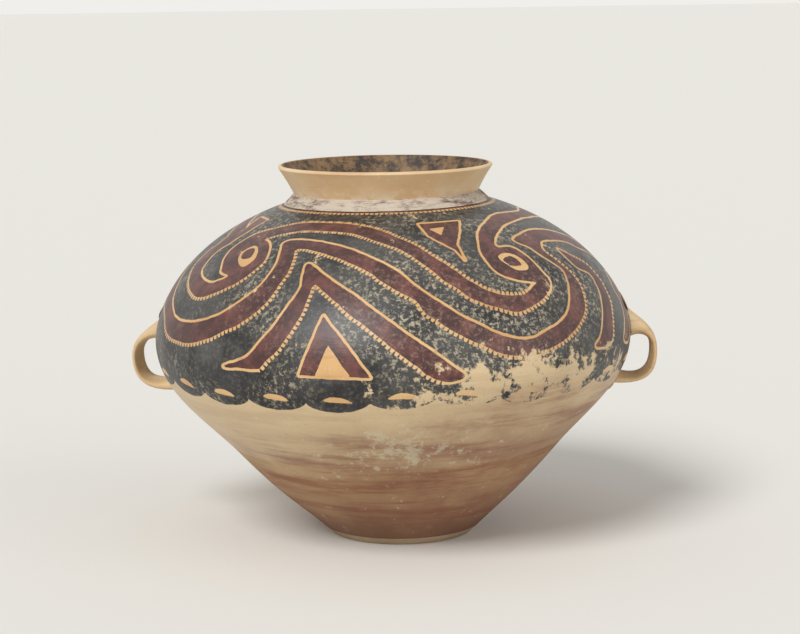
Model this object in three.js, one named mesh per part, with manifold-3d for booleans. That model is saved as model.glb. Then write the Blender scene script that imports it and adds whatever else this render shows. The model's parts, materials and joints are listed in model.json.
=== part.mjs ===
// A hand-built painted earthenware funerary urn: flat base disc, seven wall courses that meet
// at bevelled lap joints, a flared neck collar luted on with a coil of clay, and two strap handles.
// Millimetres, +Z up, origin at the middle of the flat underside. The front of the urn faces -Y.

import * as THREE from 'three';
import { mergeVertices } from 'three/addons/utils/BufferGeometryUtils.js';
import Module from 'manifold-3d';

const wasm = await Module();
wasm.setup();

// Driving dimensions of the body
const urnHeight = 330;
const neckHeight = 30;
const baseRadius = 63.5;
const bellyRadius = 211;
const bellyHeight = 179;
const wallThickness = 7;
const fitGap = 0.3;

// The lower wall is a cone that swells a little, then rounds over the belly to a domed shoulder.
// A pull is how far a curve holds the direction that it starts or ends with.
const coneTopRadius = 144;
const coneTopHeight = 79.6;
const coneFootAngle = 45.3;
const coneTopAngle = 49;
const coneFootPull = 39;
const coneTopPull = 60;
const bellyRisePull = 45.7;
const bellyUnderPull = 42;
const bellyOverPull = 16;
const shoulderPull = 120;
const shoulderAngle = 16;

// Base disc: a flange that the first course stands on, and a plug that rises inside it
const flangeHeight = 7;
const plugHeight = 5;

// Courses and their lap joints. The lap is how far a joint climbs from the outside to the inside.
const courseNames = [
  'lower_course_1', 'lower_course_2', 'lower_course_3', 'belly_course',
  'shoulder_course_1', 'shoulder_course_2', 'shoulder_course_3',
];
const jointLap = 8;

// Neck collar and the coil that lutes it to the shoulder
const neckRadius = 79.3;
const lipRadius = 94.6;
const neckFootThickness = 7;
const lipThickness = 4.6;
const neckHollow = 1.2;
const bandWidth = 12;
const bandRise = 5;
const bandCrest = 1.9;
const bandEdge = 0.8;

// Strap handles. Heights are from the belly line, up or down, and reaches from the belly's radius
// to the strap's outer face. The outer face leaves the wall at the top root and returns at the
// bottom root, and the opening is what the inner face leaves free.
const topRootAbove = 21;
const bottomRootBelow = 50;
const outmostBelow = 20;
const strapThickness = 5;
const outerTopPull = 17;
const outerTopAngle = 62;
const outerArchPull = 24;
const outerLowerPull = 23;
const outerBottomPull = 35;
const outerBottomAngle = 6.5;
const innerTopPull = 11;
const innerTopAngle = 26;
const innerArchPull = 11;
const innerLowerPull = 22;
const innerBottomPull = 24;
const innerBottomAngle = 19;
const strapWidth = 34;
const strapRootWidth = 46;
const handles = [
  { side: 'left', azimuth: 171, reach: 27.7, openingTopBelow: 5, openingBottomBelow: 38 },
  { side: 'right', azimuth: 1, reach: 23.7, openingTopBelow: 10, openingBottomBelow: 41 },
];

// Luting pads: clay smeared round the outer root of each end of a strap
const padMargin = 5;
const padHalfHeight = 10;
const upperPadThickness = 1;
const lowerPadThickness = 3;

// The pot leans as hand-built ones do: its mouth stands to the left of its base, its right side
// rides higher than its left, and its lip was trimmed level again.
const leanAtLip = 10.6;
const riseAtBellySide = 3.1;
const leanStartHeight = 57;

// Facets
const aroundSteps = 60;
const outerSteps = 4;
const innerSteps = 3;
const neckSteps = 4;
const lipSteps = 4;
const archSteps = 10;
const strapSides = 12;
const edgeRoundness = 0.7;
const padAround = 20;
const padRings = 10;

// Colours and finishes of the fired clay and its paint
const bareClay = { color: 0xc49a6c, roughness: 0.8, metalness: 0 };
const footClay = { color: 0xb08a66, roughness: 0.85, metalness: 0 };
const paintedClay = { color: 0x3b2c29, roughness: 0.55, metalness: 0 };
const maroonClay = { color: 0x6e3a33, roughness: 0.6, metalness: 0 };
const neckClay = { color: 0xcfa578, roughness: 0.75, metalness: 0 };
const courseFinish = {
  lower_course_1: bareClay,
  lower_course_2: bareClay,
  lower_course_3: bareClay,
  belly_course: paintedClay,
  shoulder_course_1: paintedClay,
  shoulder_course_2: paintedClay,
  shoulder_course_3: paintedClay,
};

const shoulderHeight = urnHeight - neckHeight;
const point = (r, z) => new THREE.Vector2(r, z);
const degrees = THREE.MathUtils.degToRad;

// A point moved from another by a length along a direction given in degrees above the horizontal.
function moved(from, length, angle) {
  return point(from.x + length * Math.cos(degrees(angle)), from.y + length * Math.sin(degrees(angle)));
}

// Outer face of the wall, from the foot to the edge of the mouth hole under the neck.
function wallPath() {
  const foot = point(baseRadius, 0);
  const coneTop = point(coneTopRadius, coneTopHeight);
  const belly = point(bellyRadius, bellyHeight);
  const neckRoot = point(neckRadius, shoulderHeight);
  const footPull = moved(foot, coneFootPull, coneFootAngle);
  const topPull = moved(coneTop, -coneTopPull, coneTopAngle);
  const risePull = moved(coneTop, bellyRisePull, coneTopAngle);
  const neckPull = moved(neckRoot, shoulderPull, -shoulderAngle);
  const mouthEdge = moved(neckRoot, -neckFootThickness, -shoulderAngle);
  const path = new THREE.Path();
  path.moveTo(foot.x, foot.y);
  path.bezierCurveTo(footPull.x, footPull.y, topPull.x, topPull.y, coneTop.x, coneTop.y);
  path.bezierCurveTo(risePull.x, risePull.y, belly.x, belly.y - bellyUnderPull, belly.x, belly.y);
  path.bezierCurveTo(belly.x, belly.y + bellyOverPull, neckPull.x, neckPull.y, neckRoot.x, neckRoot.y);
  path.lineTo(mouthEdge.x, mouthEdge.y);
  return path;
}

const wall = wallPath();
const wallLength = wall.getLength();

// A point of the wall at share u of its length, pushed out along the wall's normal.
function onWall(u, out = 0) {
  const at = wall.getPointAt(u);
  const along = wall.getTangentAt(u);
  return point(at.x + along.y * out, at.y - along.x * out);
}

// The share of the wall's length where a face, pushed out along the normal, reaches a height.
function shareAtHeight(height, out = 0) {
  let low = 0;
  let high = 1;
  for (let halving = 0; halving < 40; halving += 1) {
    const middle = (low + high) / 2;
    if (onWall(middle, out).y < height) {
      low = middle;
    } else {
      high = middle;
    }
  }
  return (low + high) / 2;
}

// The samples between two shares of the wall's length, both ends included.
function wallStretch(from, to, steps, out = 0) {
  const points = [];
  for (let step = 0; step <= steps; step += 1) {
    points.push(onWall(from + ((to - from) * step) / steps, out));
  }
  return points;
}

// A closed ring or plug turned round the Z axis from a section given as radius and height.
function turned(section) {
  const closesOnAxis = section[0].x === 0;
  const outline = closesOnAxis ? section : [...section, section[0].clone()];
  if (THREE.ShapeUtils.area(section) < 0) {
    outline.reverse();
  }
  const geometry = new THREE.LatheGeometry(outline, aroundSteps);
  geometry.rotateX(Math.PI / 2);
  return geometry;
}

function closedBody(geometry) {
  const bare = geometry.clone();
  bare.deleteAttribute('normal');
  bare.deleteAttribute('uv');
  return mergeVertices(bare, 1e-4);
}

function asSolid(geometry) {
  const body = closedBody(geometry);
  return new wasm.Manifold(new wasm.Mesh({
    numProp: 3,
    vertProperties: new Float32Array(body.attributes.position.array),
    triVerts: new Uint32Array(body.index.array),
  }));
}

function asGeometry(solid) {
  const mesh = solid.getMesh();
  const geometry = new THREE.BufferGeometry();
  geometry.setAttribute('position', new THREE.BufferAttribute(new Float32Array(mesh.vertProperties), 3));
  geometry.setIndex(new THREE.BufferAttribute(new Uint32Array(mesh.triVerts), 1));
  geometry.computeVertexNormals();
  return geometry;
}

// The largest body of a cut solid: what it leaves beside that are crumbs from the cut.
function largestBody(solid) {
  const bodies = solid.decompose();
  bodies.sort((a, b) => b.volume() - a.volume());
  return bodies[0];
}

function named(name, geometry, finish) {
  const mesh = new THREE.Mesh(geometry, new THREE.MeshStandardMaterial(finish));
  mesh.name = name;
  return mesh;
}

// Base disc: its rim carries on the wall's outline, and its plug fills the first course's foot.
function baseDisc() {
  const flangeTop = onWall(shareAtHeight(flangeHeight));
  const plug = -wallThickness - fitGap;
  const plugFoot = onWall(shareAtHeight(flangeHeight, plug), plug);
  const floorHeight = flangeHeight + plugHeight;
  const plugTop = onWall(shareAtHeight(floorHeight, plug), plug);
  const section = [
    point(0, 0), point(baseRadius, 0), flangeTop, plugFoot, plugTop, point(0, floorHeight),
  ];
  return turned(section);
}

// One course of the wall. Its outer edges lie at even shares of the wall's length, and each joint
// climbs by the lap to the inside, so the next course laps down over the outside of the last.
function course(index) {
  const count = courseNames.length;
  const first = index === 0;
  const last = index === count - 1;
  const lap = jointLap / wallLength;
  const jointGap = (fitGap * Math.hypot(wallThickness, jointLap)) / wallThickness / wallLength;
  const seat = flangeHeight + fitGap;
  const outerLow = first ? shareAtHeight(seat) : index / count + jointGap / 2;
  const outerHigh = last ? 1 : (index + 1) / count - jointGap / 2;
  const innerLow = first ? shareAtHeight(seat, -wallThickness) : outerLow + lap;
  const innerHigh = last ? 1 : outerHigh + lap;
  const outer = wallStretch(outerLow, outerHigh, outerSteps);
  const inner = wallStretch(innerHigh, innerLow, innerSteps, -wallThickness);
  return turned([...outer, ...inner]);
}

// A flared face of the neck, hollowed a little, from its foot to the lip.
function neckFace(foot, lip) {
  const middle = point((foot.x + lip.x) / 2 - neckHollow, (foot.y + lip.y) / 2 + neckHollow);
  return new THREE.QuadraticBezierCurve(foot, middle, lip);
}

const neckRootShare = 1 - neckFootThickness / wallLength;
const lipHalf = lipThickness / 2;
const neckOuterFoot = onWall(neckRootShare, fitGap);
const neckOuterFace = neckFace(neckOuterFoot, point(lipRadius, urnHeight - lipHalf));

// Neck collar: its foot stands on the shoulder round the mouth hole, and its lip is rounded.
function neckCollar() {
  const innerFoot = onWall(1, fitGap);
  const innerLip = point(lipRadius - lipThickness, urnHeight - lipHalf);
  const outer = neckOuterFace.getPoints(neckSteps);
  const inner = neckFace(innerFoot, innerLip).getPoints(neckSteps).reverse();
  const lip = [];
  for (let step = 1; step < lipSteps; step += 1) {
    const angle = (180 * step) / lipSteps;
    lip.push(moved(point(lipRadius - lipHalf, urnHeight - lipHalf), lipHalf, angle));
  }
  return turned([...outer, ...lip, ...inner]);
}

// Joint band: a coil pressed into the corner between the collar and the shoulder.
function neckJointBand() {
  const neckSide = neckOuterFace.getPoint(bandRise / (urnHeight - neckOuterFoot.y));
  const outerShare = neckRootShare - bandWidth / wallLength;
  const under = wallStretch(outerShare, neckRootShare - fitGap / wallLength, 2, fitGap);
  const corner = under.pop();
  const edgeTop = onWall(outerShare, fitGap + bandEdge);
  const crest = onWall(neckRootShare - bandWidth / 2 / wallLength, fitGap + bandCrest);
  const section = [
    ...under,
    point(corner.x + fitGap, corner.y),
    point(neckSide.x + fitGap, neckSide.y),
    point(neckSide.x + fitGap + bandEdge, neckSide.y),
    crest,
    edgeTop,
  ];
  return turned(section);
}

// One face of a strap in the handle's own upright plane, x outwards and y up: in from the wall at
// the top, down past its outmost point and back into the wall. Its ends are pressed as deep as
// the wall is thick, and what lies in the wall is cut away later.
function strapFace(top, outmost, bottom, pulls) {
  return [
    new THREE.LineCurve(point(top.x - wallThickness, top.y), top),
    new THREE.CubicBezierCurve(
      top,
      moved(top, pulls.top, pulls.topAngle),
      point(outmost.x, outmost.y + pulls.arch),
      outmost,
    ),
    new THREE.CubicBezierCurve(
      outmost,
      point(outmost.x, outmost.y - pulls.lower),
      moved(bottom, pulls.bottom, pulls.bottomAngle),
      bottom,
    ),
    new THREE.LineCurve(bottom, point(bottom.x - wallThickness, bottom.y)),
  ];
}

function wallAt(height) {
  return onWall(shareAtHeight(height));
}

function strapFaces({ reach, openingTopBelow, openingBottomBelow }) {
  const outmost = point(bellyRadius + reach, bellyHeight - outmostBelow);
  const outer = strapFace(
    wallAt(bellyHeight + topRootAbove),
    outmost,
    wallAt(bellyHeight - bottomRootBelow),
    {
      top: outerTopPull,
      topAngle: -outerTopAngle,
      arch: outerArchPull,
      lower: outerLowerPull,
      bottom: outerBottomPull,
      bottomAngle: -outerBottomAngle,
    },
  );
  const inner = strapFace(
    wallAt(bellyHeight - openingTopBelow),
    point(outmost.x - strapThickness, outmost.y),
    wallAt(bellyHeight - openingBottomBelow),
    {
      top: innerTopPull,
      topAngle: innerTopAngle,
      arch: innerArchPull,
      lower: innerLowerPull,
      bottom: innerBottomPull,
      bottomAngle: -innerBottomAngle,
    },
  );
  return { outer, inner };
}

// A strap as rounded flat sections from its outer to its inner face, wider towards both roots.
function strap(handle, grown = 0) {
  const { outer, inner } = strapFaces(handle);
  const stations = [[0, 0]];
  for (let step = 0; step < archSteps; step += 1) {
    stations.push([1, step / archSteps]);
  }
  for (let step = 0; step <= archSteps; step += 1) {
    stations.push([2, step / archSteps]);
  }
  stations.push([3, 1]);
  const positions = [];
  for (const [piece, share] of stations) {
    const outside = outer[piece].getPoint(share);
    const inside = inner[piece].getPoint(share);
    const middle = outside.clone().add(inside).multiplyScalar(0.5);
    const across = outside.clone().sub(inside).normalize();
    const flare = THREE.MathUtils.clamp(Math.abs(piece + share - 2), 0, 1) ** 3;
    const halfWidth = (strapWidth + (strapRootWidth - strapWidth) * flare) / 2 + grown;
    const halfThickness = outside.distanceTo(inside) / 2 + grown;
    for (let side = 0; side < strapSides; side += 1) {
      const turn = (2 * Math.PI * (side + 0.5)) / strapSides;
      const out = Math.sign(Math.sin(turn)) * Math.abs(Math.sin(turn)) ** edgeRoundness * halfThickness;
      const sideways = Math.sign(Math.cos(turn)) * Math.abs(Math.cos(turn)) ** edgeRoundness * halfWidth;
      positions.push(middle.x + across.x * out, sideways, middle.y + across.y * out);
    }
  }
  const faces = [];
  const end = (stations.length - 1) * strapSides;
  for (let start = 0; start < end; start += strapSides) {
    for (let side = 0; side < strapSides; side += 1) {
      const a = start + side;
      const b = start + ((side + 1) % strapSides);
      faces.push(a, b, a + strapSides, b, b + strapSides, a + strapSides);
    }
  }
  for (let side = 1; side < strapSides - 1; side += 1) {
    faces.push(0, side + 1, side);
    faces.push(end, end + side, end + side + 1);
  }
  const geometry = new THREE.BufferGeometry();
  geometry.setAttribute('position', new THREE.Float32BufferAttribute(positions, 3));
  geometry.setIndex(faces);
  return geometry;
}

// The whole wall as a plug grown by the fit gap, turned so that its facets meet those of the wall
// when a handle is set at its azimuth.
function wallCutter(azimuth) {
  const outer = wallStretch(0, 1, outerSteps * courseNames.length, fitGap);
  const section = [point(0, outer[0].y), ...outer, point(0, outer[outer.length - 1].y)];
  const geometry = turned(section);
  geometry.rotateZ(-degrees(azimuth));
  return asSolid(geometry);
}

// A flat lump of clay on the wall at a height, in a handle's own frame.
function padLump(height, thickness) {
  const share = shareAtHeight(height);
  const at = onWall(share);
  const along = wall.getTangentAt(share);
  const lump = new THREE.SphereGeometry(1, padAround, padRings);
  lump.scale(thickness, strapRootWidth / 2 + padMargin, padHalfHeight);
  lump.rotateY(Math.atan2(along.x, along.y));
  lump.translate(at.x, 0, at.y);
  return lump;
}

function handleGroup(handle) {
  const { side, azimuth } = handle;
  const cutter = wallCutter(azimuth);
  const strapBody = largestBody(asSolid(strap(handle)).subtract(cutter));
  const strapRoom = asSolid(strap(handle, fitGap));
  const pads = [
    { place: 'upper', height: bellyHeight + topRootAbove, thickness: upperPadThickness },
    { place: 'lower', height: bellyHeight - bottomRootBelow, thickness: lowerPadThickness },
  ];
  const group = new THREE.Group();
  group.rotation.z = degrees(azimuth);
  group.add(named(`handle_${side}`, asGeometry(strapBody), neckClay));
  for (const { place, height, thickness } of pads) {
    const lump = asSolid(padLump(height, thickness)).subtract(cutter).subtract(strapRoom);
    group.add(named(`handle_${side}_${place}_pad`, asGeometry(largestBody(lump)), bareClay));
  }
  return group;
}

// The lean: points move left as they climb, and rise on the right, more so up to the belly.
// The flat underside and the lip keep their level.
function leaned(at) {
  const started = THREE.MathUtils.smoothstep(at.z, 0, leanStartHeight);
  const belowLip = 1 - THREE.MathUtils.clamp((at.z - shoulderHeight) / neckHeight, 0, 1);
  const rise = (riseAtBellySide / bellyRadius) * started * belowLip;
  return new THREE.Vector3(at.x - (leanAtLip * at.z) / urnHeight, at.y, at.z + rise * at.x);
}

function leanAll(root) {
  root.updateMatrixWorld(true);
  root.traverse((mesh) => {
    if (!mesh.isMesh) {
      return;
    }
    const back = mesh.matrixWorld.clone().invert();
    const places = mesh.geometry.attributes.position;
    const at = new THREE.Vector3();
    for (let index = 0; index < places.count; index += 1) {
      at.fromBufferAttribute(places, index).applyMatrix4(mesh.matrixWorld);
      const to = leaned(at).applyMatrix4(back);
      places.setXYZ(index, to.x, to.y, to.z);
    }
    mesh.geometry.computeVertexNormals();
  });
}

const body = new THREE.Group();
body.add(named('base_disc', baseDisc(), footClay));
courseNames.forEach((name, index) => body.add(named(name, course(index), courseFinish[name])));

const neck = new THREE.Group();
neck.add(named('neck_joint_band', neckJointBand(), maroonClay));
neck.add(named('neck_collar', neckCollar(), neckClay));

const group = new THREE.Group();
group.add(body, neck);
for (const handle of handles) {
  group.add(handleGroup(handle));
}
leanAll(group);

export default group;
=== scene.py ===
# Looks of a painted earthenware funerary urn: hand-built courses, flared neck and strap handles.
# Metres, +Z up. The painted front faces -Y. The wall's outline repeats the real sizes of the solids.
import json
import math

import bmesh
import bpy
import numpy as np
from mathutils import Euler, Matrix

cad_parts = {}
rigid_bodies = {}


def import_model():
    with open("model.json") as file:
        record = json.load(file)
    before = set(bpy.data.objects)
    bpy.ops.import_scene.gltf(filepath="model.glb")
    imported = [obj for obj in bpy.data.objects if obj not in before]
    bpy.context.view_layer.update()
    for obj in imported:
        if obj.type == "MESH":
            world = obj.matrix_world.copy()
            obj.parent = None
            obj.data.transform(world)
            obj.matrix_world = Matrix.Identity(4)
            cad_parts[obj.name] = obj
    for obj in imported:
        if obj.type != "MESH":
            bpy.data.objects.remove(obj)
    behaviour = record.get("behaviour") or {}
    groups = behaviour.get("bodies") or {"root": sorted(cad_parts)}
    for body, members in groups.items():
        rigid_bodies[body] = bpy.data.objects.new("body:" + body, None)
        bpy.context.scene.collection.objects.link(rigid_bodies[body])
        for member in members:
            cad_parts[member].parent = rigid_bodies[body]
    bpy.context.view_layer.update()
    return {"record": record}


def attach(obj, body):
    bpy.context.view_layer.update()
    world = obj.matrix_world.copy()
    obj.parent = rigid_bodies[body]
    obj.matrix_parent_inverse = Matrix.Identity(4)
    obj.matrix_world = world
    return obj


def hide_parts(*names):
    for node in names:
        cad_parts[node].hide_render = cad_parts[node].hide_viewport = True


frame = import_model()
bpy.ops.object.select_all(action="DESELECT")

MM = 0.001

# Real sizes of the urn in millimetres
URN_HEIGHT = 330.0
SHOULDER_HEIGHT = 300.0
NECK_RADIUS = 79.3
BELLY_RADIUS = 211.0
BELLY_HEIGHT = 179.0
CONE_TOP_RADIUS = 144.0
CONE_TOP_HEIGHT = 79.6
FOOT_RADIUS = 63.5
WALL = 7.0
FLANGE_HEIGHT = 7.0
FLOOR_HEIGHT = 12.0
LIP_RADIUS = 94.6
LIP_THICKNESS = 4.6
NECK_HOLLOW = 1.2
BAND_WIDTH = 12.0
BAND_RISE = 5.0
BAND_CREST = 1.9
CREST_FULLNESS = 1.7
JOINT_LAP = 8.0
JOINT_GAP = 0.3
COURSES = ["lower_course_1", "lower_course_2", "lower_course_3", "belly_course",
           "shoulder_course_1", "shoulder_course_2", "shoulder_course_3"]
FIRST_PAINTED_COURSE = 2

# The slope of the wall's outline in degrees and the pull on its curves in millimetres
FOOT_SLOPE = 45.3
FOOT_PULL = 39.0
CONE_SLOPE = 49.0
CONE_PULL_DOWN = 60.0
CONE_PULL_UP = 45.7
BELLY_PULL_DOWN = 42.0
BELLY_PULL_UP = 16.0
NECK_SLOPE = -16.0
NECK_PULL = 120.0

# The lip's lean to the left, the rise of the right side at the belly, and the height from which it is full
LEAN_AT_LIP = 10.6
RISE_AT_BELLY = 3.1
RISE_FULL_HEIGHT = 57.0

# The base disc's rounded edge, as radius and height, and where its flat faces are cut once
BASE_EDGE = [(62.3, 0), (63.3, 0.5), (64.4, 1.6)]
BASE_MIDDLE = 40.0

# The camera of the photograph: place in millimetres, downward pitch, roll and focal length in pixels
CAMERA_PLACE = (0.65, -1967.97, 495.15)
CAMERA_PITCH = 0.1527
CAMERA_ROLL = 0.0145
FOCAL_PIXELS = 2231.65
FRAME_WIDTH = 800
FRAME_HEIGHT = 634
SENSOR_MM = 36.0

# Rows and columns of the turned meshes
AROUND = 760
PAINTED_ROW_MM = 1.5
BARE_ROW_MM = 4.0
INNER_ROWS = 6
CURVE_STEPS = 160
REACH_STEPS = 4000
NECK_ROWS = 14
LIP_STEPS = 10
LIP_ROWS_OUTSIDE = 5
BAND_STEPS = 12
SEAT_STEPS = 50

# How the straps and pads are softened: voxel size in metres and passes of smoothing
STRAP_VOXEL = 0.0011
STRAP_PASSES = 8
PAD_VOXEL = 0.0006
PAD_PASSES = 26

# Outlines of the painted bands, as points of the photograph's 800 x 634 frame
FLOWING_BAND_PX = [
    (224, 268), (224, 260), (231, 250), (243, 241), (256, 234), (278, 228), (303, 223), (327, 223),
    (349, 224), (376, 229), (398, 238), (416, 246), (434, 257), (451, 268), (469, 280), (485, 289),
    (500, 294), (519, 295), (529, 291), (535, 284), (547, 279), (550, 286), (547, 294), (540, 301),
    (529, 308), (518, 312), (503, 309), (487, 304), (469, 297), (458, 289), (448, 283), (434, 272),
    (420, 262), (402, 250), (385, 244), (367, 238), (349, 233), (322, 231), (300, 231), (278, 235),
    (264, 240), (258, 246), (244, 250), (234, 262)]
RIGHT_SPIRAL_PX = [
    (519, 211), (496, 214), (485, 223), (479, 232), (479, 242), (482, 254), (495, 270), (511, 278),
    (526, 281), (537, 282), (548, 279), (544, 274), (536, 265), (524, 254), (511, 247), (498, 247),
    (494, 242), (497, 233), (505, 224), (520, 218)]
RIGHT_EYE_PX = [(498, 257), (504, 253), (515, 255), (525, 262), (528, 269), (518, 270), (506, 264)]
RIGHT_PUPIL_PX = [(503, 259), (510, 256), (518, 260), (521, 265), (512, 266), (507, 263)]
LEFT_SPIRAL_PX = [
    (222, 268), (226, 257), (236, 248), (246, 241), (258, 238), (268, 242), (269, 250), (265, 260),
    (257, 268), (247, 276), (236, 283), (224, 289), (214, 293), (203, 297), (195, 296), (190, 289),
    (189, 282), (191, 273), (195, 265), (200, 259), (210, 250), (221, 242), (233, 233), (240, 235),
    (230, 243), (220, 249), (212, 256), (206, 263), (202, 269), (201, 275), (204, 280), (210, 283),
    (218, 281), (228, 276), (222, 272)]
LEFT_EYE_PX = [(238, 260), (242, 252), (253, 246), (258, 248), (256, 257), (249, 264), (242, 267)]
LEFT_PUPIL_PX = [(241, 258), (244, 252), (252, 248), (255, 250), (251, 257), (245, 259)]
BIG_WAVE_PX = [
    (178, 282), (173, 296), (173, 310), (176, 318), (184, 322), (196, 322), (214, 317), (231, 308),
    (245, 298), (258, 288), (267, 278), (276, 265), (281, 252), (284, 243), (296, 240), (314, 241),
    (331, 244), (349, 249), (367, 256), (385, 264), (400, 273), (411, 283), (425, 293), (442, 304),
    (460, 315), (478, 324), (496, 333), (518, 339), (534, 338), (545, 332), (558, 324), (567, 314),
    (570, 303), (570, 292), (568, 280), (561, 268), (541, 255), (529, 247), (514, 240), (521, 234),
    (531, 230), (546, 230), (562, 234), (577, 240), (577, 247), (567, 242), (556, 240), (541, 241),
    (543, 250), (556, 260), (571, 273), (579, 284), (583, 294), (585, 305), (584, 314), (580, 322),
    (573, 332), (562, 342), (545, 351), (536, 355), (518, 356), (500, 353), (487, 347), (469, 339),
    (451, 330), (438, 321), (425, 313), (416, 301), (398, 291), (380, 280), (372, 274), (358, 267),
    (340, 259), (322, 253), (305, 249), (296, 250), (293, 259), (289, 271), (280, 284), (272, 296),
    (263, 306), (249, 317), (236, 326), (222, 332), (210, 338), (197, 342), (187, 343), (178, 341),
    (170, 337), (166, 330), (165, 314), (168, 296)]
PEAKED_BAND_PX = [
    (307, 264), (322, 273), (338, 285), (354, 295), (372, 309), (389, 321), (407, 334), (434, 353),
    (454, 367), (466, 377), (445, 382), (427, 375), (417, 367), (394, 350), (380, 338), (363, 324),
    (349, 314), (336, 302), (322, 290), (314, 285), (308, 299), (302, 312), (294, 326), (285, 340),
    (276, 352), (267, 360), (258, 369), (240, 368), (223, 366), (245, 358), (260, 342), (273, 327),
    (282, 315), (291, 302), (301, 287)]
RIGHT_PEAKED_BAND_PX = [
    (558, 249), (567, 258), (577, 267), (589, 273), (596, 283), (601, 296), (603, 309), (603, 322),
    (601, 336), (596, 346), (606, 346), (612, 340), (613, 327), (612, 314), (610, 300), (606, 291),
    (601, 281), (594, 272), (585, 263), (572, 256)]
FAR_RIGHT_BAND_PX = [(606, 272), (613, 287), (619, 298), (623, 309), (625, 322), (624, 338)]
LOW_TRIANGLE_PX = [(323, 316), (347, 346), (371, 378), (335, 377), (299, 375), (311, 345)]
LOW_TRIANGLE_HEART_PX = [(328, 345), (351, 378), (315, 377)]
HIGH_TRIANGLE_PX = [(419, 224), (458, 221), (456, 244), (465, 260), (456, 250), (429, 236)]
HIGH_TRIANGLE_HEART_PX = [(429, 229), (444, 227), (441, 235)]
LEFT_HIGH_TRIANGLE_PX = [(236, 239), (249, 226), (261, 217), (267, 220), (249, 231)]

# How bands run on past the limb of the front, by degrees round from the front and millimetres up the wall
RIGHT_SPIRAL_PAST = [
    (75, 376), (84, 373), (93, 367), (101, 359), (106, 352), (112, 354), (113, 364), (106, 374), (98, 382),
    (89, 387)]
BIG_WAVE_PAST = [
    (94, 314), (98, 302), (102, 291), (105, 280), (98, 274), (94, 284), (91, 296), (88, 307), (83, 318)]
FAR_RIGHT_PAST = [(75, 231), (79, 236), (82, 248), (86, 262), (89, 275), (89, 286)]
BIG_WAVE_PAST_AT = 44

# Toothed stretches of the bands' outlines, by the first and last of their points
FLOWING_TEETH = [(4, 18), (22, 42)]
LEFT_SPIRAL_TEETH = [(7, 19)]
BIG_WAVE_TEETH = [(57, 104)]
PEAKED_TEETH = [(10, 26)]
RIGHT_PEAKED_TEETH = [(11, 19)]

# Widths of the buff lines, the pitch of the teeth and the maroon stripe under the neck, in millimetres
LINE_MM = 2.3
TOOTHED_LINE_MM = 3.3
TOOTH_PITCH_MM = 4.2
NECK_STRIPE_MM = 2.5
# Radii at which the teeth's places along the neck's stripe and along the bands are measured
NECK_STRIPE_RADIUS = 95.16
MEAN_PAINTED_RADIUS = 190.0
# Past a band's last point, in radians, its line still reaches the paint
LINE_MARGIN = 0.05
ROUNDING_STEPS = 6

# Where the paint ends: a lobe's lowest point and the notch beside it at the front, and the lobes all round
FRINGE_LOBE_PX = (344, 412)
FRINGE_NOTCH_PX = (368, 402)
FRINGE_LOBES = 24
FRINGE_PHASE = 0.36
# The edge's slow wave and its ripple: millimetres, how many go round the urn, and where the wave starts
FRINGE_WAVE = (1.6, 5, 1.0)
FRINGE_RIPPLE = (1.1, 9)
# The buff lens in each lobe, in millimetres
LENS_HALF_LENGTH = 12.0
LENS_HALF_HEIGHT = 2.7
LENS_ABOVE_LOBE = 12.5
LENS_TILT = 0.08
LENS_BEND = 0.012

# How finely and how far the photograph's points are looked up on the wall
LIMB_DEGREES = 88
FIND_DEGREES = 0.5
FIND_MM = 0.8
LOWEST_PAINT_REACH = 150
NEAREST_PLACES = 4

# Grain sizes of the clay's and the paint's unevenness in millimetres, and their lengths over their heights
KILN_CLOUD_MM = 111.11
BODY_CLOUD_MM = 100.0
STAIN_MM = 41.667
WIPING_STREAK_MM = 71.43
WIPING_STREAK_LENGTH = 11.4286
BODY_STREAK_MM = 142.86
BODY_STREAK_LENGTH = 12.143
FINGER_MARK_MM = 50.0
FINGER_MARK_LENGTH = 11.0
FINGER_DENT_MM = 35.71
GRIT_MM = 1.111
LIGHT_GRAIN_MM = 2.381
PIT_MM = 2.083
SCUFF_MM = 14.286
BRUSH_WAVER_MM = 8.333
BRUSH_WAVER_WIDTH = 0.9
PAINT_CLOUD_MM = 22.222
MAROON_CLOUD_MM = 16.667
GREYED_PATCH_MM = 62.5
WORN_PATCH_MM = 76.923
SPECK_MM = 3.846
LOST_FLAKE_MM = 19.231
SCRAPE_MM = 22.22
SCRAPE_LENGTH = 4.667
BLOOM_MM = 11.111
MOUTH_PATCH_MM = 13.333

# Levels of the bare body's colours in metres, and how far the clouds and the side of the urn shift them; the
# dark foot and the darker right side, away from the key lamp, are painted shade
CLOUD_SHIFT = 0.11
SHADED_SIDE_SHIFT = -0.16
# Painted shade: the dark foot colour fades out between these levels
FOOT_SHADE_LOW = 0.055
FOOT_SHADE_HIGH = 0.130
CREAM_LOW = 0.125
CREAM_HIGH = 0.210
STREAKS_THICK = 0.150
STREAKS_THIN = 0.205

# Heights in metres between which the neck's cream bloom fades
BLOOM_LOW = 0.304
BLOOM_HIGH = 0.318

# Spots of the front and back that differ, by X and Z in metres: centre, stretch and reach
RED_STAIN_SPOT = ((0.045, 0.075), (0.8, 1.0), 0.10)
SCUFFED_SPOT = ((0.0, 0.108), (0.7, 2.2), 0.09)
RUBBED_SPOT = ((0.045, 0.215), (0.9, 1.3), 0.13)
LOST_PAINT_SPOT = ((0.10, 0.162), (0.62, 2.0), 0.10)
SPOT_HEART = 0.15

SMOOTH = {"interpolation_type": "SMOOTHSTEP"}
COLOURS = {"data_type": "RGBA"}
CLAY_IOR = 1.5
FLOOR_METRES = 60.0


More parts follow.
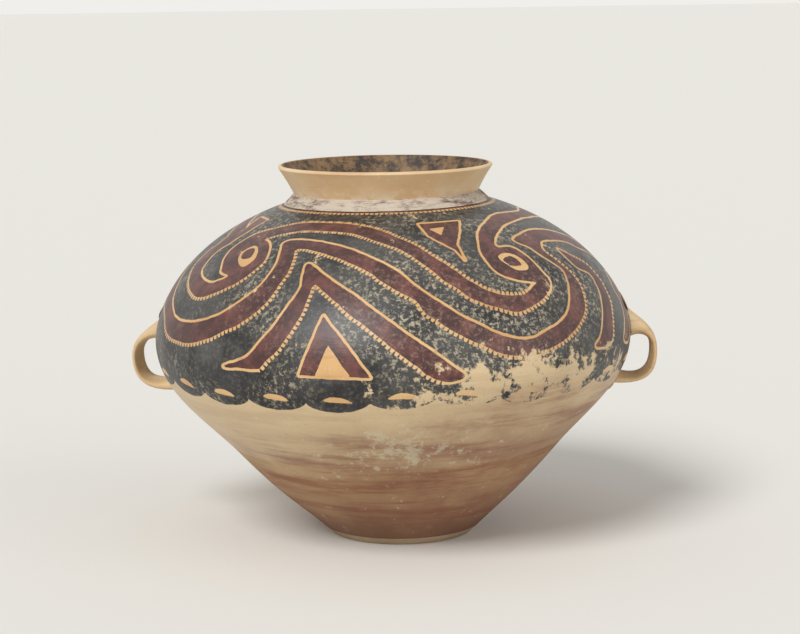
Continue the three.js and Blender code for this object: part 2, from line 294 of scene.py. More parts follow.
def add_camera():
    data = bpy.data.cameras.new("camera")
    data.sensor_width = SENSOR_MM
    data.lens = FOCAL_PIXELS * SENSOR_MM / FRAME_WIDTH
    camera = bpy.data.objects.new("camera", data)
    bpy.context.collection.objects.link(camera)
    camera.location = [value * MM for value in CAMERA_PLACE]
    upright = Euler((math.pi / 2 - CAMERA_PITCH, 0, 0)).to_matrix()
    rolled = Euler((0, 0, -CAMERA_ROLL)).to_matrix()
    camera.rotation_euler = (upright @ rolled).to_euler()
    bpy.context.scene.camera = camera


def lean(x, y, z):
    """The pot leans left as it climbs, and its right side rides higher, up to the neck."""
    start = np.clip(z / RISE_FULL_HEIGHT, 0, 1)
    start = start * start * (3 - 2 * start)
    below = 1 - np.clip((z - SHOULDER_HEIGHT) / (URN_HEIGHT - SHOULDER_HEIGHT), 0, 1)
    return x - LEAN_AT_LIP * z / URN_HEIGHT, y, z + RISE_AT_BELLY / BELLY_RADIUS * start * below * x


def project(x, y, z):
    """The photograph's pixel of a point of the upright urn."""
    x, y, z = lean(x, y, z)
    x, y, z = x - CAMERA_PLACE[0], y - CAMERA_PLACE[1], z - CAMERA_PLACE[2]
    cosine, sine = math.cos(CAMERA_PITCH), math.sin(CAMERA_PITCH)
    depth, up = y * cosine - z * sine, z * cosine + y * sine
    u, v = FOCAL_PIXELS * x / depth, FOCAL_PIXELS * up / depth
    cosine, sine = math.cos(CAMERA_ROLL), math.sin(CAMERA_ROLL)
    return FRAME_WIDTH / 2 + u * cosine - v * sine, FRAME_HEIGHT / 2 - u * sine - v * cosine


def moved(start, length, degrees):
    angle = math.radians(degrees)
    return (start[0] + length * math.cos(angle), start[1] + length * math.sin(angle))


def curve(a, b, c, d):
    t = np.linspace(0, 1, CURVE_STEPS)[:, None]
    a, b, c, d = (np.array(point, float) for point in (a, b, c, d))
    return (1 - t) ** 3 * a + 3 * (1 - t) ** 2 * t * b + 3 * (1 - t) * t * t * c + t ** 3 * d


def wall_outline():
    """The outside of the wall, from the foot over the belly to the neck's inner edge."""
    foot = (FOOT_RADIUS, 0)
    cone = (CONE_TOP_RADIUS, CONE_TOP_HEIGHT)
    belly = (BELLY_RADIUS, BELLY_HEIGHT)
    root = (NECK_RADIUS, SHOULDER_HEIGHT)
    low = curve(foot, moved(foot, FOOT_PULL, FOOT_SLOPE), moved(cone, -CONE_PULL_DOWN, CONE_SLOPE), cone)
    middle = curve(cone, moved(cone, CONE_PULL_UP, CONE_SLOPE), moved(belly, -BELLY_PULL_DOWN, 90), belly)
    high = curve(belly, moved(belly, BELLY_PULL_UP, 90), moved(root, NECK_PULL, NECK_SLOPE), root)
    edge = np.array([moved(root, -WALL, NECK_SLOPE)])
    return np.vstack([low[:-1], middle[:-1], high, edge])


OUTLINE = wall_outline()
REACH = np.concatenate([[0], np.cumsum(np.hypot(*np.diff(OUTLINE, axis=0).T))])
WALL_LENGTH = REACH[-1]
NECK_REACH = WALL_LENGTH - WALL


def on_wall(reach, out=0.0):
    """Radius and height at a length along the wall from the foot, pushed out along the normal."""
    reach = np.asarray(reach, float)
    r, z = np.interp(reach, REACH, OUTLINE[:, 0]), np.interp(reach, REACH, OUTLINE[:, 1])
    dr = np.interp(reach + 1, REACH, OUTLINE[:, 0]) - np.interp(reach - 1, REACH, OUTLINE[:, 0])
    dz = np.interp(reach + 1, REACH, OUTLINE[:, 1]) - np.interp(reach - 1, REACH, OUTLINE[:, 1])
    size = np.hypot(dr, dz)
    return r + dz / size * out, z - dr / size * out


def reach_at(height, out=0.0):
    """The length along the wall at which it comes to a height."""
    steps = np.linspace(0, WALL_LENGTH, REACH_STEPS)
    return float(np.interp(height, on_wall(steps, out)[1], steps))


def wall_finder():
    """Turns points of the photograph into azimuth from the front and length along the wall."""
    degrees = np.arange(-LIMB_DEGREES, LIMB_DEGREES + FIND_DEGREES / 2, FIND_DEGREES)
    a, s = np.meshgrid(np.radians(degrees), np.arange(LOWEST_PAINT_REACH, NECK_REACH, FIND_MM))
    a, s = a.ravel(), s.ravel()
    r, z = on_wall(s)
    u, v = project(r * np.sin(a), -r * np.cos(a), z)

    def find(points):
        found = []
        for px, py in points:
            apart = (u - px) ** 2 + (v - py) ** 2
            near = np.argpartition(apart, NEAREST_PLACES)[:NEAREST_PLACES]
            weight = 1 / (apart[near] + 0.01)
            found.append((np.average(a[near], weights=weight), np.average(s[near], weights=weight)))
        return np.array(found)

    return find


def rounded(points):
    """A closed smooth line through the points."""
    count = len(points)
    t = np.linspace(0, 1, ROUNDING_STEPS, endpoint=False)[:, None]
    pieces = []
    for k in range(count):
        a, b, c, d = (points[(k + step) % count] for step in (-1, 0, 1, 2))
        pieces.append(0.5 * (2 * b + (c - a) * t + (2 * a - 5 * b + 4 * c - d) * t ** 2
                             + (3 * b - a - 3 * c + d) * t ** 3))
    return np.vstack(pieces)


find = wall_finder()


def band(pixels, teeth=(), past=(), at=0):
    """A band's smooth outline, and 1 for each step of it that is toothed."""
    points = find(pixels)
    if past:
        points = np.insert(points, at, [(math.radians(angle), reach) for angle, reach in past], axis=0)
    toothed = np.zeros(len(points) * ROUNDING_STEPS)
    for first, last in teeth:
        toothed[first * ROUNDING_STEPS:last * ROUNDING_STEPS] = 1
    return rounded(points), toothed


def plain(pixels):
    """An outline with sharp corners and no teeth."""
    return find(pixels), np.zeros(len(pixels))


RED_LINES = [
    band(FLOWING_BAND_PX, FLOWING_TEETH),
    band(RIGHT_SPIRAL_PX, past=RIGHT_SPIRAL_PAST, at=len(RIGHT_SPIRAL_PX)),
    band(LEFT_SPIRAL_PX, LEFT_SPIRAL_TEETH),
    band(BIG_WAVE_PX, BIG_WAVE_TEETH, BIG_WAVE_PAST, BIG_WAVE_PAST_AT),
    band(PEAKED_BAND_PX, PEAKED_TEETH),
    band(RIGHT_PEAKED_BAND_PX, RIGHT_PEAKED_TEETH),
    band(FAR_RIGHT_BAND_PX, past=FAR_RIGHT_PAST, at=len(FAR_RIGHT_BAND_PX)),
    plain(LOW_TRIANGLE_PX),
    plain(HIGH_TRIANGLE_PX),
    plain(LEFT_HIGH_TRIANGLE_PX)]
BUFF_LINES = [
    band(RIGHT_EYE_PX),
    band(LEFT_EYE_PX),
    plain(LOW_TRIANGLE_HEART_PX),
    plain(HIGH_TRIANGLE_HEART_PX)]
PUPIL_LINES = [band(RIGHT_PUPIL_PX), band(LEFT_PUPIL_PX)]
FRINGE_LOW = float(find([FRINGE_LOBE_PX])[0, 1])
FRINGE_HIGH = float(find([FRINGE_NOTCH_PX])[0, 1])


def signed_distance(azimuth, reach, radius, line, flags):
    """Millimetres to a closed line, negative inside, the place along it, and whether it is toothed there."""
    toothed = np.zeros(azimuth.shape)
    best = np.full(azimuth.shape, 1e6)
    along = np.zeros(azimuth.shape)
    inside = np.zeros(azimuth.shape, bool)
    gone = 0.0
    for a, b, flag in zip(line, np.roll(line, -1, axis=0), flags):
        ax, ay = (a[0] - azimuth) * radius, a[1] - reach
        bx, by = (b[0] - azimuth) * radius, b[1] - reach
        ex, ey = bx - ax, by - ay
        size = ex * ex + ey * ey + 1e-9
        t = np.clip(-(ax * ex + ay * ey) / size, 0, 1)
        away = np.hypot(ax + t * ex, ay + t * ey)
        nearer = away < best
        best = np.where(nearer, away, best)
        along = np.where(nearer, gone + t * np.sqrt(size), along)
        toothed = np.where(nearer, flag, toothed)
        crosses = (ay > 0) != (by > 0)
        cut = ax - ay * ex / np.where(np.abs(ey) < 1e-9, 1e-9, ey)
        inside ^= crosses & (cut > 0)
        gone += float(np.hypot((b[0] - a[0]) * MEAN_PAINTED_RADIUS, b[1] - a[1]))
    return np.where(inside, -best, best), along, toothed


def red_fields(front, reach, radius):
    """Distance to the maroon bands, the place along the nearest one and its teeth."""
    red = np.full(front.shape, 1e3)
    along = np.zeros(front.shape)
    toothed = np.zeros(front.shape)
    for line, flags in RED_LINES:
        for turned in (0.0, math.pi):
            near = front + turned < line[:, 0].max() + LINE_MARGIN
            if not near.any():
                continue
            distance, place, teeth = signed_distance(
                front[near] + turned, reach[near], radius[near], line, flags)
            nearer = distance < red[near]
            red[near] = np.where(nearer, distance, red[near])
            along[near] = np.where(nearer, place, along[near])
            toothed[near] = np.where(nearer, teeth, toothed[near])
    return red, along, toothed


def paint_fields(azimuth, reach):
    """Distances that the paint reads: red bands, buff hearts, eyes and lenses, and the fringe."""
    azimuth = (azimuth + math.pi) % (2 * math.pi) - math.pi
    # The back repeats the front, half a turn round.
    front = (azimuth + math.pi / 2) % math.pi - math.pi / 2
    radius = on_wall(reach)[0]
    red, along, toothed = red_fields(front, reach, radius)
    stripe = NECK_REACH - BAND_WIDTH - NECK_STRIPE_MM - reach
    nearer = stripe < red
    red = np.where(nearer, stripe, red)
    along = np.where(nearer, azimuth * NECK_STRIPE_RADIUS, along)
    toothed = np.where(nearer, 1.0, toothed)
    buff = np.full(front.shape, 1e3)
    for line, flags in BUFF_LINES:
        buff = np.minimum(buff, signed_distance(front, reach, radius, line, flags)[0])
    for line, flags in PUPIL_LINES:
        buff = np.maximum(buff, -signed_distance(front, reach, radius, line, flags)[0])
    turn = (azimuth * FRINGE_LOBES / (2 * math.pi) + FRINGE_PHASE) % 1
    lobe = np.sqrt(np.abs(np.sin(math.pi * turn)))
    size, count, start = FRINGE_WAVE
    wander = size * np.sin(azimuth * count + start) + FRINGE_RIPPLE[0] * np.sin(azimuth * FRINGE_RIPPLE[1])
    fringe = FRINGE_HIGH + (FRINGE_LOW - FRINGE_HIGH) * lobe + wander - reach
    lens_x = (turn - 0.5) / FRINGE_LOBES * 2 * math.pi * radius
    lens_y = reach - (FRINGE_LOW + LENS_ABOVE_LOBE + wander - LENS_TILT * lens_x - LENS_BEND * lens_x ** 2)
    lens = (np.hypot(lens_x / LENS_HALF_LENGTH, lens_y / LENS_HALF_HEIGHT) - 1) * LENS_HALF_HEIGHT
    buff = np.minimum(buff, lens)
    return {"red": red, "along": along, "toothed": toothed, "buff": buff, "fringe": fringe}


def linear(hexed):
    """The linear colour of an sRGB hex value."""
    channels = [int(hexed[k:k + 2], 16) / 255 for k in (0, 2, 4)]
    return [c / 12.92 if c <= 0.04045 else ((c + 0.055) / 1.055) ** 2.4 for c in channels] + [1.0]


def add(tree, kind, inputs=None, output=0, **settings):
    """Adds a node with its settings, input values and links, and gives one of its outputs."""
    node = tree.nodes.new(kind)
    for key, value in settings.items():
        setattr(node, key, value)
    for key, value in (inputs or {}).items():
        if isinstance(value, bpy.types.NodeSocket):
            tree.links.new(value, node.inputs[key])
        else:
            node.inputs[key].default_value = value
    return node.outputs[output]


def new_material(name, roughness):
    """A dull dielectric material, its tree and shader, and the place on the piece that it reads."""
    material = bpy.data.materials.new(name)
    material.use_nodes = True
    tree = material.node_tree
    shader = tree.nodes["Principled BSDF"]
    shader.inputs["Roughness"].default_value = roughness
    shader.inputs["IOR"].default_value = CLAY_IOR
    return material, tree, shader, add(tree, "ShaderNodeTexCoord", output="Object")


def unevenness(tree, place, size_mm, detail=4.0, rough=0.6, longer=1.0, slant=0.0):
    """Uneven values in grains of a real size, or in sideways streaks as a wiping hand leaves them."""
    if longer != 1.0:
        place = add(tree, "ShaderNodeMapping", {
            "Vector": place, "Rotation": (0.0, slant, 0.0), "Scale": (1.0, 1.0, longer)})
    return add(tree, "ShaderNodeTexNoise", {
        "Vector": place, "Scale": 1 / (size_mm * MM), "Detail": detail, "Roughness": rough})


def patches(tree, place, size_mm, low, high, most=1.0, least=0.0, spot=None, lift=0.0, **grain):
    """Soft-edged patches where the unevenness passes from low to high, and more of them at a spot."""
    value = unevenness(tree, place, size_mm, **grain)
    if spot is not None:
        value = add(tree, "ShaderNodeMath", {0: spot, 1: lift, 2: value}, operation="MULTIPLY_ADD")
    return add(tree, "ShaderNodeMapRange", {
        "Value": value, "From Min": low, "From Max": high, "To Min": least, "To Max": most}, **SMOOTH)


def mottled(tree, place, under, over, *size_and_range, **kind):
    """A colour with another one over it in patches."""
    share = patches(tree, place, *size_and_range, **kind)
    return add(tree, "ShaderNodeMix", {"Factor": share, 6: under, 7: over}, 2, **COLOURS)


def painted(tree, under, over, distance, soft):
    """A colour with another one over it inside an outline, with a soft edge in millimetres."""
    share = add(tree, "ShaderNodeMapRange", {
        "Value": distance, "From Min": soft, "From Max": -soft}, **SMOOTH)
    return add(tree, "ShaderNodeMix", {"Factor": share, 6: under, 7: over}, 2, **COLOURS)


def near_spot(tree, place, centre, stretch, reach):
    """1 at a spot of the urn's front and back, given by X and Z, falling to 0 at its reach."""
    moved_place = add(tree, "ShaderNodeMapping", {
        "Vector": place, "Scale": (stretch[0], 0.0, stretch[1]),
        "Location": (-centre[0] * stretch[0], 0.0, -centre[1] * stretch[1])})
    far = add(tree, "ShaderNodeVectorMath", {0: moved_place}, "Value", operation="LENGTH")
    return add(tree, "ShaderNodeMapRange", {
        "Value": far, "From Min": reach, "From Max": SPOT_HEART * reach}, **SMOOTH)


def clay_colour(tree, place, base, light, dark):
    """Fired clay: broad fire clouds, fine mottling and sideways wiping streaks."""
    colour = mottled(tree, place, linear(base), linear(light), KILN_CLOUD_MM, 0.35, 0.68)
    colour = mottled(tree, place, colour, linear(dark), WIPING_STREAK_MM, 0.52, 0.78, 0.55,
                     detail=5.0, longer=WIPING_STREAK_LENGTH)
    return mottled(tree, place, colour, linear("f0e2c8"), LIGHT_GRAIN_MM, 0.60, 0.75, 0.35, detail=2.0)


def clay_bump(tree, shader, place, depth=0.0006):
    """Hand smoothing: finger waves, wiping marks and fine grit, drawn a millimetre wide so that it shows."""
    marks = unevenness(tree, place, FINGER_MARK_MM, longer=FINGER_MARK_LENGTH)
    dents = unevenness(tree, place, FINGER_DENT_MM)
    waves = add(tree, "ShaderNodeMath", {0: marks, 1: dents}, operation="ADD")
    grit = unevenness(tree, place, GRIT_MM, detail=2.0)
    height = add(tree, "ShaderNodeMath", {0: grit, 1: 0.35, 2: waves}, operation="MULTIPLY_ADD")
    bump = add(tree, "ShaderNodeBump", {"Height": height, "Strength": 0.6, "Distance": depth})
    tree.links.new(bump, shader.inputs["Normal"])


def body_colour(tree, place):
    """The bare lower body: cream under the paint, red-brown streaks below, darker towards the foot and on the
    right side as painted shade.
    """
    across = add(tree, "ShaderNodeSeparateXYZ", {0: place}, "X")
    height = add(tree, "ShaderNodeSeparateXYZ", {0: place}, "Z")
    cloud = unevenness(tree, place, BODY_CLOUD_MM, detail=5.0)
    # The level, and with it the colour, falls towards the foot and on the right side, away from the key lamp:
    # painted shade over the clay's clouds.
    level = add(tree, "ShaderNodeMath", {0: cloud, 1: CLOUD_SHIFT, 2: height}, operation="MULTIPLY_ADD")
    level = add(tree, "ShaderNodeMath", {0: across, 1: SHADED_SIDE_SHIFT, 2: level}, operation="MULTIPLY_ADD")
    out_of_foot_shade = add(tree, "ShaderNodeMapRange", {
        "Value": level, "From Min": FOOT_SHADE_LOW, "From Max": FOOT_SHADE_HIGH}, **SMOOTH)
    under_paint = add(tree, "ShaderNodeMapRange", {
        "Value": level, "From Min": CREAM_LOW, "From Max": CREAM_HIGH}, **SMOOTH)
    low = add(tree, "ShaderNodeMapRange", {
        "Value": level, "From Min": STREAKS_THIN, "From Max": STREAKS_THICK,
        "To Min": 0.15, "To Max": 0.75}, **SMOOTH)
    colour = add(tree, "ShaderNodeMix", {
        "Factor": out_of_foot_shade, 6: linear("75523d"), 7: linear("a68461")}, 2, **COLOURS)
    colour = add(tree, "ShaderNodeMix", {"Factor": under_paint, 6: colour, 7: linear("d4bc95")}, 2, **COLOURS)
    streaks = patches(tree, place, BODY_STREAK_MM, 0.44, 0.64, detail=7.0, rough=0.7,
                      longer=BODY_STREAK_LENGTH, slant=0.22)
    streaks = add(tree, "ShaderNodeMath", {0: streaks, 1: low}, operation="MULTIPLY")
    colour = add(tree, "ShaderNodeMix", {"Factor": streaks, 6: colour, 7: linear("824c35")}, 2, **COLOURS)
    stain = add(tree, "ShaderNodeMath", {
        0: near_spot(tree, place, *RED_STAIN_SPOT),
        1: patches(tree, place, STAIN_MM, 0.38, 0.62, 0.5, detail=6.0, rough=0.7)}, operation="MULTIPLY")
    colour = add(tree, "ShaderNodeMix", {"Factor": stain, 6: colour, 7: linear("7c4c38")}, 2, **COLOURS)
    colour = mottled(tree, place, colour, linear("cfc6a9"), SCUFF_MM, 0.60, 0.69, 0.6, detail=7.0, rough=0.75,
                     spot=near_spot(tree, place, *SCUFFED_SPOT), lift=0.10)
    return mottled(tree, place, colour, linear("6a4a35"), PIT_MM, 0.60, 0.74, 0.30, detail=3.0)


def body_earthenware():
    """Bare low-fired earthenware of the lower body, wiped by hand: matt, stained and streaked, with painted
    shade towards the foot and on the right.
    """
    material, tree, shader, place = new_material("wiped_body_earthenware", 0.8)
    tree.links.new(body_colour(tree, place), shader.inputs["Base Color"])
    clay_bump(tree, shader, place)
    return material


def bare_earthenware(name, base, light, dark, roughness=0.8):
    """Bare low-fired earthenware, smoothed by hand: dull, mottled buff with reddish streaks."""
    material, tree, shader, place = new_material(name, roughness)
    tree.links.new(clay_colour(tree, place, base, light, dark), shader.inputs["Base Color"])
    clay_bump(tree, shader, place)
    return material


def buff_line_share(tree, red, along, toothed):
    """Where the buff line round a band shows: black teeth stand in it, widest on the black side."""
    doubled = add(tree, "ShaderNodeMath", {0: along, 1: 2 / TOOTH_PITCH_MM}, operation="MULTIPLY")
    saw = add(tree, "ShaderNodeMath", {0: doubled, 1: 1.0}, operation="PINGPONG")
    width = add(tree, "ShaderNodeMapRange", {"Value": toothed, "To Min": LINE_MM, "To Max": TOOTHED_LINE_MM})
    rise = add(tree, "ShaderNodeMath", {0: red, 1: width}, operation="DIVIDE")
    gap = add(tree, "ShaderNodeMath", {0: rise, 1: 0.38, 2: saw}, operation="MULTIPLY_ADD")
    tooth = add(tree, "ShaderNodeMapRange", {"Value": gap, "From Min": 0.78, "From Max": 0.94}, **SMOOTH)
    tooth = add(tree, "ShaderNodeMath", {0: tooth, 1: toothed}, operation="MULTIPLY")
    kept = add(tree, "ShaderNodeMath", {0: 1.0, 1: tooth}, operation="SUBTRACT")
    left = add(tree, "ShaderNodeMath", {0: width, 1: red}, operation="SUBTRACT")
    in_line = add(tree, "ShaderNodeMapRange", {"Value": left, "From Min": -0.15, "From Max": 0.15}, **SMOOTH)
    return add(tree, "ShaderNodeMath", {0: in_line, 1: kept}, operation="MULTIPLY")


def painted_earthenware():
    """Black and maroon mineral paint on burnished buff clay: thin, dull, worn to cream specks."""
    material, tree, shader, place = new_material("painted_burnished_earthenware", 0.42)
    along = add(tree, "ShaderNodeAttribute", output="Fac", attribute_name="along")
    toothed = add(tree, "ShaderNodeAttribute", output="Fac", attribute_name="toothed")
    # The brush wavers by less than a millimetre.
    waver = add(tree, "ShaderNodeMapRange", {
        "Value": unevenness(tree, place, BRUSH_WAVER_MM, detail=3.0),
        "To Min": -BRUSH_WAVER_WIDTH, "To Max": BRUSH_WAVER_WIDTH})
    edge = {}
    for name in ("red", "buff", "fringe"):
        drawn = add(tree, "ShaderNodeAttribute", output="Fac", attribute_name=name)
        edge[name] = add(tree, "ShaderNodeMath", {0: drawn, 1: waver}, operation="ADD")
    # The bare clay under and below the paint, with its painted shade towards the foot and the right side.
    clay = body_colour(tree, place)
    line_clay = clay_colour(tree, place, "c99a62", "dcb580", "a5744a")
    black = mottled(tree, place, linear("0f0e11"), linear("2d2c2f"), PAINT_CLOUD_MM, 0.4, 0.62)
    black = mottled(tree, place, black, linear("545350"), GREYED_PATCH_MM, 0.42, 0.66, 0.6,
                    detail=6.0, rough=0.65)
    speck = patches(tree, place, SPECK_MM, 0.50, 0.60, detail=6.0, rough=0.8)
    worn = patches(tree, place, WORN_PATCH_MM, 0.40, 0.68, 0.84, 0.12, detail=5.0,
                   spot=near_spot(tree, place, *RUBBED_SPOT), lift=0.22)
    specks = add(tree, "ShaderNodeMath", {0: speck, 1: worn}, operation="MULTIPLY")
    fainter = add(tree, "ShaderNodeMath", {0: specks, 1: 0.5}, operation="MULTIPLY")
    black = add(tree, "ShaderNodeMix", {"Factor": specks, 6: black, 7: linear("b7ac92")}, 2, **COLOURS)
    maroon = mottled(tree, place, linear("40221f"), linear("663a34"), MAROON_CLOUD_MM, 0.4, 0.65)
    maroon = add(tree, "ShaderNodeMix", {"Factor": fainter, 6: maroon, 7: linear("9a8273")}, 2, **COLOURS)
    line = buff_line_share(tree, edge["red"], along, toothed)
    colour = add(tree, "ShaderNodeMix", {"Factor": line, 6: black, 7: line_clay}, 2, **COLOURS)
    colour = painted(tree, colour, maroon, edge["red"], 0.15)
    colour = painted(tree, colour, line_clay, edge["buff"], 0.2)
    # Paint is rubbed through to clay in patches, most of it low on the right.
    colour = mottled(tree, place, colour, clay, LOST_FLAKE_MM, 0.635, 0.69, detail=7.0, rough=0.72,
                     spot=near_spot(tree, place, *LOST_PAINT_SPOT), lift=0.20)
    colour = painted(tree, clay, colour, edge["fringe"], 0.2)
    tree.links.new(colour, shader.inputs["Base Color"])
    clay_bump(tree, shader, place, 0.0004)
    return material


def banded_earthenware():
    """Luting coil of earthenware, painted maroon and scraped: matt grey-white clay with violet-brown left."""
    material, tree, shader, place = new_material("scraped_maroon_earthenware", 0.75)
    colour = mottled(tree, place, linear("624644"), linear("c2b6a5"), SCRAPE_MM, 0.34, 0.56,
                     detail=6.0, rough=0.75, longer=SCRAPE_LENGTH)
    tree.links.new(colour, shader.inputs["Base Color"])
    clay_bump(tree, shader, place, 0.0008)
    return material


def stained_neck():
    """Burnished buff earthenware of the neck: cream bloom outside, worn dark paint inside the mouth."""
    material, tree, shader, place = new_material("burnished_neck_earthenware", 0.62)
    outside = clay_colour(tree, place, "d3ae81", "e3c9a1", "bb8f62")
    height = add(tree, "ShaderNodeSeparateXYZ", {0: place}, "Z")
    low = add(tree, "ShaderNodeMapRange", {
        "Value": height, "From Min": BLOOM_HIGH, "From Max": BLOOM_LOW}, **SMOOTH)
    bloom = add(tree, "ShaderNodeMath", {
        0: low, 1: patches(tree, place, BLOOM_MM, 0.42, 0.6, 0.6, detail=5.0)}, operation="MULTIPLY")
    outside = add(tree, "ShaderNodeMix", {"Factor": bloom, 6: outside, 7: linear("e4d9c0")}, 2, **COLOURS)
    inside = mottled(tree, place, linear("30261f"), linear("876a49"), MOUTH_PATCH_MM, 0.40, 0.60,
                     detail=7.0, rough=0.8)
    inner = add(tree, "ShaderNodeAttribute", output="Fac", attribute_name="inner")
    inner = add(tree, "ShaderNodeMapRange", {"Value": inner, "From Min": 0.45, "From Max": 0.55}, **SMOOTH)
    colour = add(tree, "ShaderNodeMix", {"Factor": inner, 6: outside, 7: inside}, 2, **COLOURS)
    tree.links.new(colour, shader.inputs["Base Color"])
    clay_bump(tree, shader, place, 0.0004)
    return material


def finished(name, mesh, material, close_angle=35):
    """Makes a piece's object, points its faces outwards and gives it its finish."""
    form = bmesh.new()
    form.from_mesh(mesh)
    bmesh.ops.remove_doubles(form, verts=form.verts, dist=1e-6)
    bmesh.ops.recalc_face_normals(form, faces=form.faces)
    form.to_mesh(mesh)
    form.free()
    piece = bpy.data.objects.new(name + "_look", mesh)
    bpy.context.collection.objects.link(piece)
    mesh.materials.append(material)
    bpy.ops.object.select_all(action="DESELECT")
    piece.select_set(True)
    bpy.context.view_layer.objects.active = piece
    bpy.ops.object.shade_smooth_by_angle(angle=math.radians(close_angle))
    piece.select_set(False)
    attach(piece, "root")
    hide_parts(name)


def turned_piece(name, section, material, fields=None):
    """A closed ring or plug turned from a section of radius, height and a value that its fields read."""
    section = np.array(section, float)
    rows = len(section)
    a = np.tile(np.linspace(0, 2 * math.pi, AROUND, endpoint=False), rows)
    r, z, value = (np.repeat(section[:, k], AROUND) for k in range(3))
    x, y, z = lean(r * np.sin(a), -r * np.cos(a), z)
    index = np.arange(rows * AROUND).reshape(rows, AROUND)
    after = np.roll(index, -1, axis=1)
    below, beyond = np.roll(index, -1, axis=0), np.roll(after, -1, axis=0)
    faces = np.stack([index, after, beyond, below], -1).reshape(-1, 4)
    mesh = bpy.data.meshes.new(name)
    mesh.from_pydata((np.stack([x, y, z], 1) * MM).tolist(), [], faces.tolist())
    if fields:
        for key, values in fields(a, value).items():
            layer = mesh.attributes.new(key, "FLOAT", "POINT")
            layer.data.foreach_set("value", np.asarray(values, np.float32))
    finished(name, mesh, material)


def wall_section(low, high, low_in, high_in, pitch):
    """A course's section: fine rows outside, coarse rows inside."""
    outer = np.linspace(low, high, max(3, int((high - low) / pitch)))
    inner = np.linspace(high_in, low_in, INNER_ROWS)
    outer_r, outer_z = on_wall(outer)
    inner_r, inner_z = on_wall(inner, -WALL)
    return [*zip(outer_r, outer_z, outer), *zip(inner_r, inner_z, inner)]


def course_piece(index, material, has_paint):
    """One course of the wall, lapped over the outside of the course below it."""
    first, last = index == 0, index == len(COURSES) - 1
    low = reach_at(FLANGE_HEIGHT) if first else WALL_LENGTH * index / len(COURSES)
    high = WALL_LENGTH * (index + 1) / len(COURSES)
    low_in = reach_at(FLANGE_HEIGHT, -WALL) if first else low + JOINT_LAP
    high_in = high if last else high + JOINT_LAP
    section = wall_section(low, high, low_in, high_in, PAINTED_ROW_MM if has_paint else BARE_ROW_MM)
    turned_piece(COURSES[index], section, material, paint_fields if has_paint else None)


def neck_line(foot, lip, steps):
    """A hollow curve from the neck's foot to its lip."""
    t = np.linspace(0, 1, steps)[:, None]
    foot, lip = np.array(foot), np.array(lip)
    middle = (foot + lip) / 2 + np.array([-NECK_HOLLOW, NECK_HOLLOW])
    return (1 - t) ** 2 * foot + 2 * t * (1 - t) * middle + t ** 2 * lip


def mouth_side(azimuth, mark):
    """The side of the collar that is painted dark, whatever the azimuth."""
    return {"inner": mark}


def collar_piece(material):
    """The flared neck: its outside, its rounded lip and its inside."""
    half = LIP_THICKNESS / 2
    lip_height = URN_HEIGHT - half
    mouth_radius = LIP_RADIUS - LIP_THICKNESS
    outer = neck_line(on_wall(NECK_REACH, JOINT_GAP), (LIP_RADIUS, lip_height), NECK_ROWS)
    inner = neck_line(on_wall(WALL_LENGTH, JOINT_GAP), (mouth_radius, lip_height), NECK_ROWS)[::-1]
    turn = np.linspace(0, math.pi, LIP_STEPS)[1:-1]
    lip = np.stack([LIP_RADIUS - half + half * np.cos(turn), lip_height + half * np.sin(turn)], 1)
    rows = np.vstack([outer, lip, inner])
    outside = len(outer) + LIP_ROWS_OUTSIDE
    marks = [0.0] * outside + [1.0] * (len(rows) - outside)
    section = [(r, z, mark) for (r, z), mark in zip(rows, marks)]
    turned_piece("neck_collar", section, material, mouth_side)


def band_piece(material):
    """The coil in the corner between shoulder and neck, full in its middle."""
    foot, lip = on_wall(NECK_REACH, JOINT_GAP), (LIP_RADIUS, URN_HEIGHT - LIP_THICKNESS / 2)
    side = neck_line(foot, lip, SEAT_STEPS)[int(SEAT_STEPS * BAND_RISE / (lip[1] - foot[1]))]
    low = on_wall(NECK_REACH - BAND_WIDTH, JOINT_GAP)
    crest = on_wall(NECK_REACH - BAND_WIDTH / 2, JOINT_GAP + BAND_CREST * CREST_FULLNESS)
    t = np.linspace(0, 1, BAND_STEPS)[:, None]
    top = (1 - t) ** 2 * side + 2 * t * (1 - t) * np.array(crest) + t ** 2 * np.array(low)
    section = [(r, z, 0) for r, z in [*top, on_wall(NECK_REACH - BAND_WIDTH / 2, JOINT_GAP), foot]]
    turned_piece("neck_joint_band", section, material)


def base_piece(material):
    """The base disc with the low plug that fills the first course's foot."""
    inset = -WALL - JOINT_GAP
    flange = on_wall(reach_at(FLANGE_HEIGHT))
    plug_low = on_wall(reach_at(FLANGE_HEIGHT, inset), inset)
    plug_high = on_wall(reach_at(FLOOR_HEIGHT, inset), inset)
    points = [(0, 0), (BASE_MIDDLE, 0), *BASE_EDGE, flange, plug_low, plug_high,
              (BASE_MIDDLE, FLOOR_HEIGHT), (0, FLOOR_HEIGHT)]
    turned_piece("base_disc", [(r, z, 0) for r, z in points], material)


def node_objects():
    """The name of each node's object."""
    names = {}
    for node in [entry["node"] for entry in frame["record"]["subparts"]]:
        for thing in bpy.data.objects:
            if thing.type == "MESH" and thing.name.split(".")[0] == node:
                names[node] = thing.name
    return names


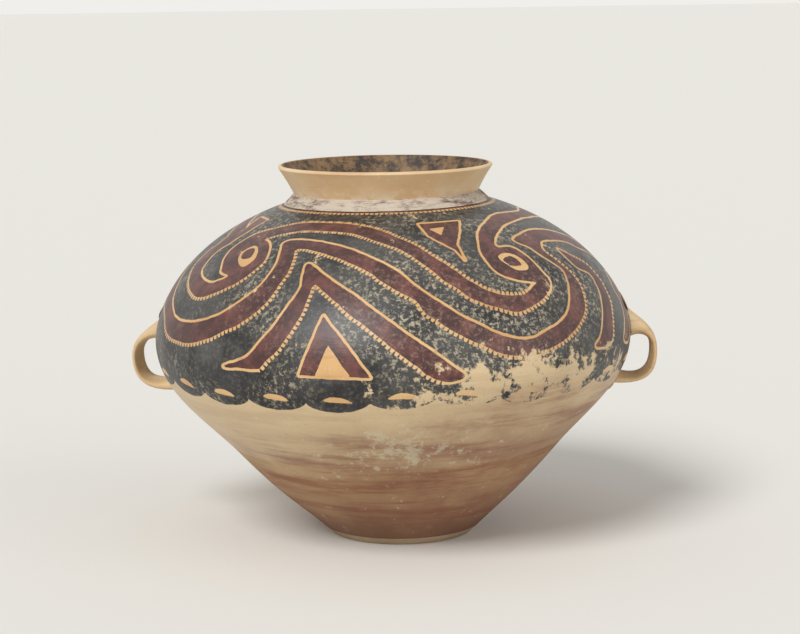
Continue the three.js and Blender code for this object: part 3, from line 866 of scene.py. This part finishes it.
def softened_copy(source, node, material, voxel, passes):
    """A handmade strap or pad: the solid's shape with its facets rounded away."""
    mesh = source.data.copy()
    mesh.materials.clear()
    mesh.transform(source.matrix_world)
    form = bmesh.new()
    form.from_mesh(mesh)
    bmesh.ops.remove_doubles(form, verts=form.verts, dist=1e-6)
    form.to_mesh(mesh)
    form.free()
    carrier = bpy.data.objects.new(node + "_form", mesh)
    bpy.context.collection.objects.link(carrier)
    bpy.context.view_layer.objects.active = carrier
    remesh = carrier.modifiers.new("remesh", "REMESH")
    remesh.mode = "VOXEL"
    remesh.voxel_size = voxel
    smooth = carrier.modifiers.new("smooth", "SMOOTH")
    smooth.factor = 0.5
    smooth.iterations = passes
    carrier.select_set(True)
    bpy.ops.object.modifier_apply(modifier="remesh")
    bpy.ops.object.modifier_apply(modifier="smooth")
    carrier.select_set(False)
    shaped = carrier.data
    bpy.data.objects.remove(carrier)
    finished(node, shaped, material, 60)


def pale_floor():
    """A wide matt floor, painted pale, that shows only the urn's shadow."""
    bpy.ops.mesh.primitive_plane_add(size=FLOOR_METRES, location=(0, 0, 0))
    floor = bpy.context.object
    floor.name = "floor"
    material, _, shader, _ = new_material("pale_floor", 0.9)
    shader.inputs["Base Color"].default_value = linear("e6e4df")
    floor.data.materials.append(material)


def plain_world():
    """Even grey light on the urn, shown pale to the camera and in reflections."""
    world = bpy.context.scene.world or bpy.data.worlds.new("world")
    bpy.context.scene.world = world
    world.use_nodes = True
    tree = world.node_tree
    back = tree.nodes["Background"]
    seen = [add(tree, "ShaderNodeLightPath", output=ray) for ray in ("Is Camera Ray", "Is Glossy Ray")]
    shown = add(tree, "ShaderNodeMath", {0: seen[0], 1: seen[1]}, operation="MAXIMUM")
    colour = add(tree, "ShaderNodeMix", {
        "Factor": shown, 6: linear("b9b8b6"), 7: linear("f1efeb")}, 2, **COLOURS)
    tree.links.new(colour, back.inputs["Color"])
    back.inputs["Strength"].default_value = 1.0


def soft_light(name, place, strength, spread):
    """A lamp with parallel light from its place towards the urn, its spread in degrees."""
    light = bpy.data.lights.new(name, "SUN")
    light.energy = strength
    light.angle = math.radians(spread)
    lamp = bpy.data.objects.new(name, light)
    bpy.context.collection.objects.link(lamp)
    lamp.location = place
    lamp.rotation_euler = lamp.location.to_track_quat("Z", "Y").to_euler()


frame_names = node_objects()
add_camera()
pale_floor()
plain_world()
soft_light("key", (-1.1, -1.9, 2.1), 2.1, 24.0)
soft_light("fill", (1.9, -1.2, 0.9), 0.5, 50.0)

bare = body_earthenware()
foot_clay = bare_earthenware("rubbed_foot_earthenware", "a0876a", "bba588", "7a624b", 0.85)
cream = bare_earthenware("finger_smoothed_earthenware", "cdab7d", "e6d2ab", "a0683d")
paint = painted_earthenware()

base_piece(foot_clay)
for course_index in range(len(COURSES)):
    has_paint = course_index >= FIRST_PAINTED_COURSE
    course_piece(course_index, paint if has_paint else bare, has_paint)
band_piece(banded_earthenware())
collar_piece(stained_neck())
for side in ("left", "right"):
    strap = "handle_" + side
    solid = bpy.data.objects[frame_names[strap]]
    softened_copy(solid, strap, cream, STRAP_VOXEL, STRAP_PASSES)
    for end in ("upper", "lower"):
        pad = f"{strap}_{end}_pad"
        solid = bpy.data.objects[frame_names[pad]]
        softened_copy(solid, pad, cream, PAD_VOXEL, PAD_PASSES)

bpy.context.scene.view_settings.view_transform = "Standard"
